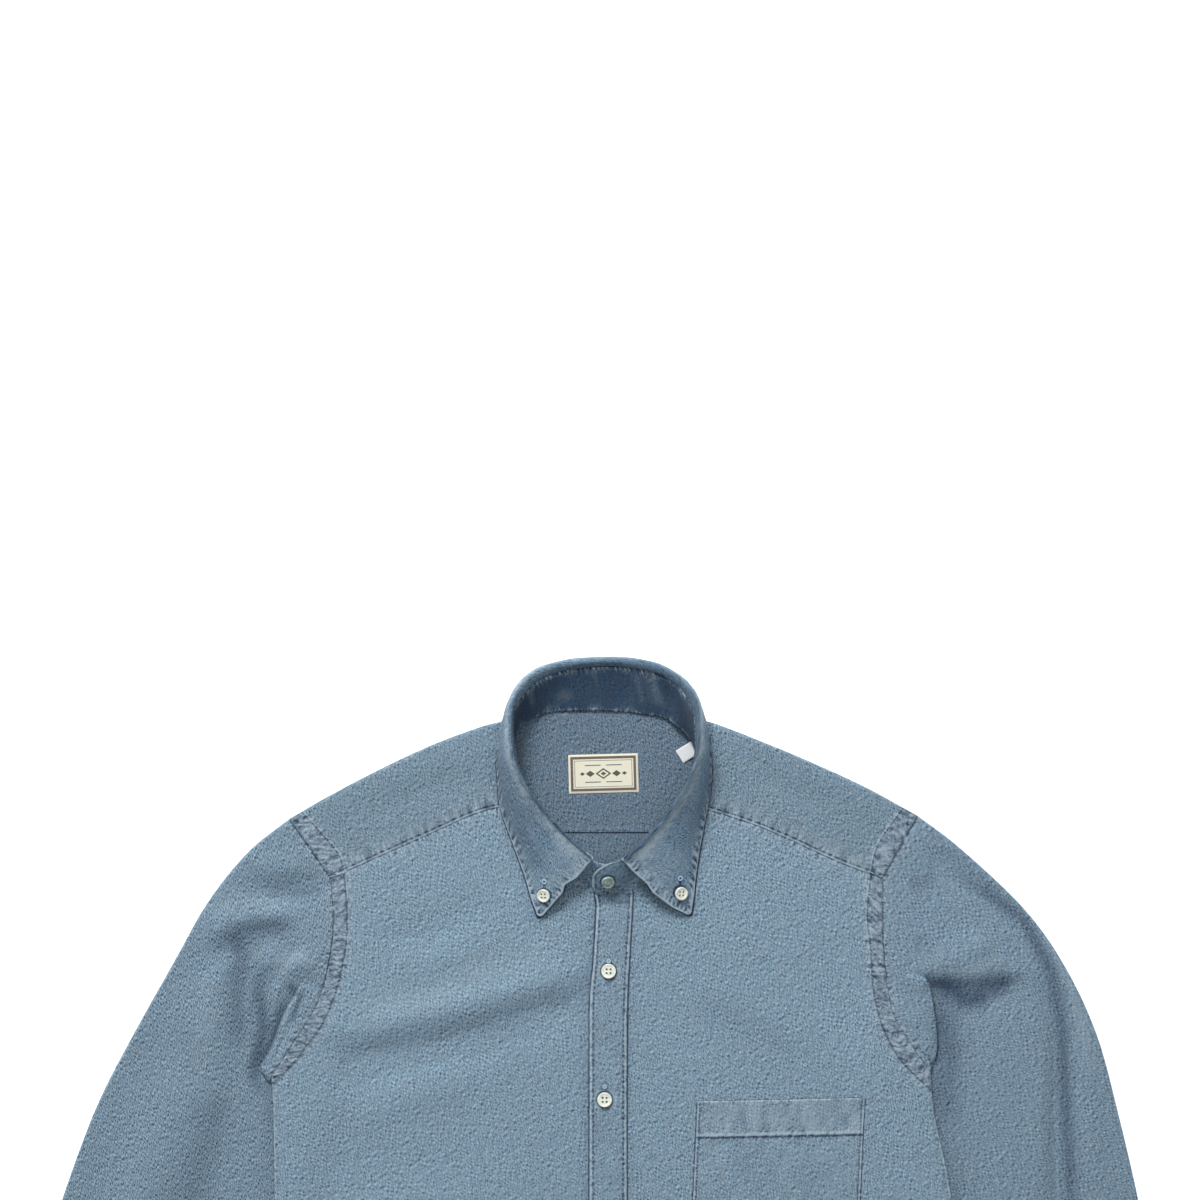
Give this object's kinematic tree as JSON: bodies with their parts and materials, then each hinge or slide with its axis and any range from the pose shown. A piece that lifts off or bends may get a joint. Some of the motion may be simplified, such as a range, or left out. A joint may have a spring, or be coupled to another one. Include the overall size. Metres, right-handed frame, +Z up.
{
  "type": "chambray button-down shirt",
  "caption": "Long-sleeved button-down shirt in mid-blue chambray with a chest pocket, buttoned up and laid flat on its back.",
  "frame": {"origin": "middle of the laid garment's footprint, on the surface it lies on", "axes": "+X towards the wearer's left sleeve, +Y towards the collar, +Z up from the surface"},
  "size_m": [0.9086, 0.7692, 0.0352],
  "materials": {
    "chambray": "matte woven cotton",
    "woven_label": "matte woven label",
    "white_tape": "matte woven tape",
    "button_shell": "polished, slightly pearly"
  },
  "bodies": {
    "root": {"back_panel": "chambray", "yoke": "chambray", "front_right": "chambray", "front_left": "chambray", "placket": "chambray", "pocket": "chambray", "sleeve_right": "chambray", "sleeve_left": "chambray", "cuff_right": "chambray", "cuff_left": "chambray", "collar_stand": "chambray", "collar_leaf": "chambray", "neck_label": "woven_label", "size_tab": "white_tape", "button_collar_stand": "button_shell", "button_collar_point_right": "button_shell", "button_collar_point_left": "button_shell", "button_front_1": "button_shell", "button_front_2": "button_shell", "button_front_3": "button_shell", "button_front_4": "button_shell", "button_front_5": "button_shell", "button_cuff_right": "button_shell", "button_cuff_left": "button_shell"}
  },
  "joints": []
}
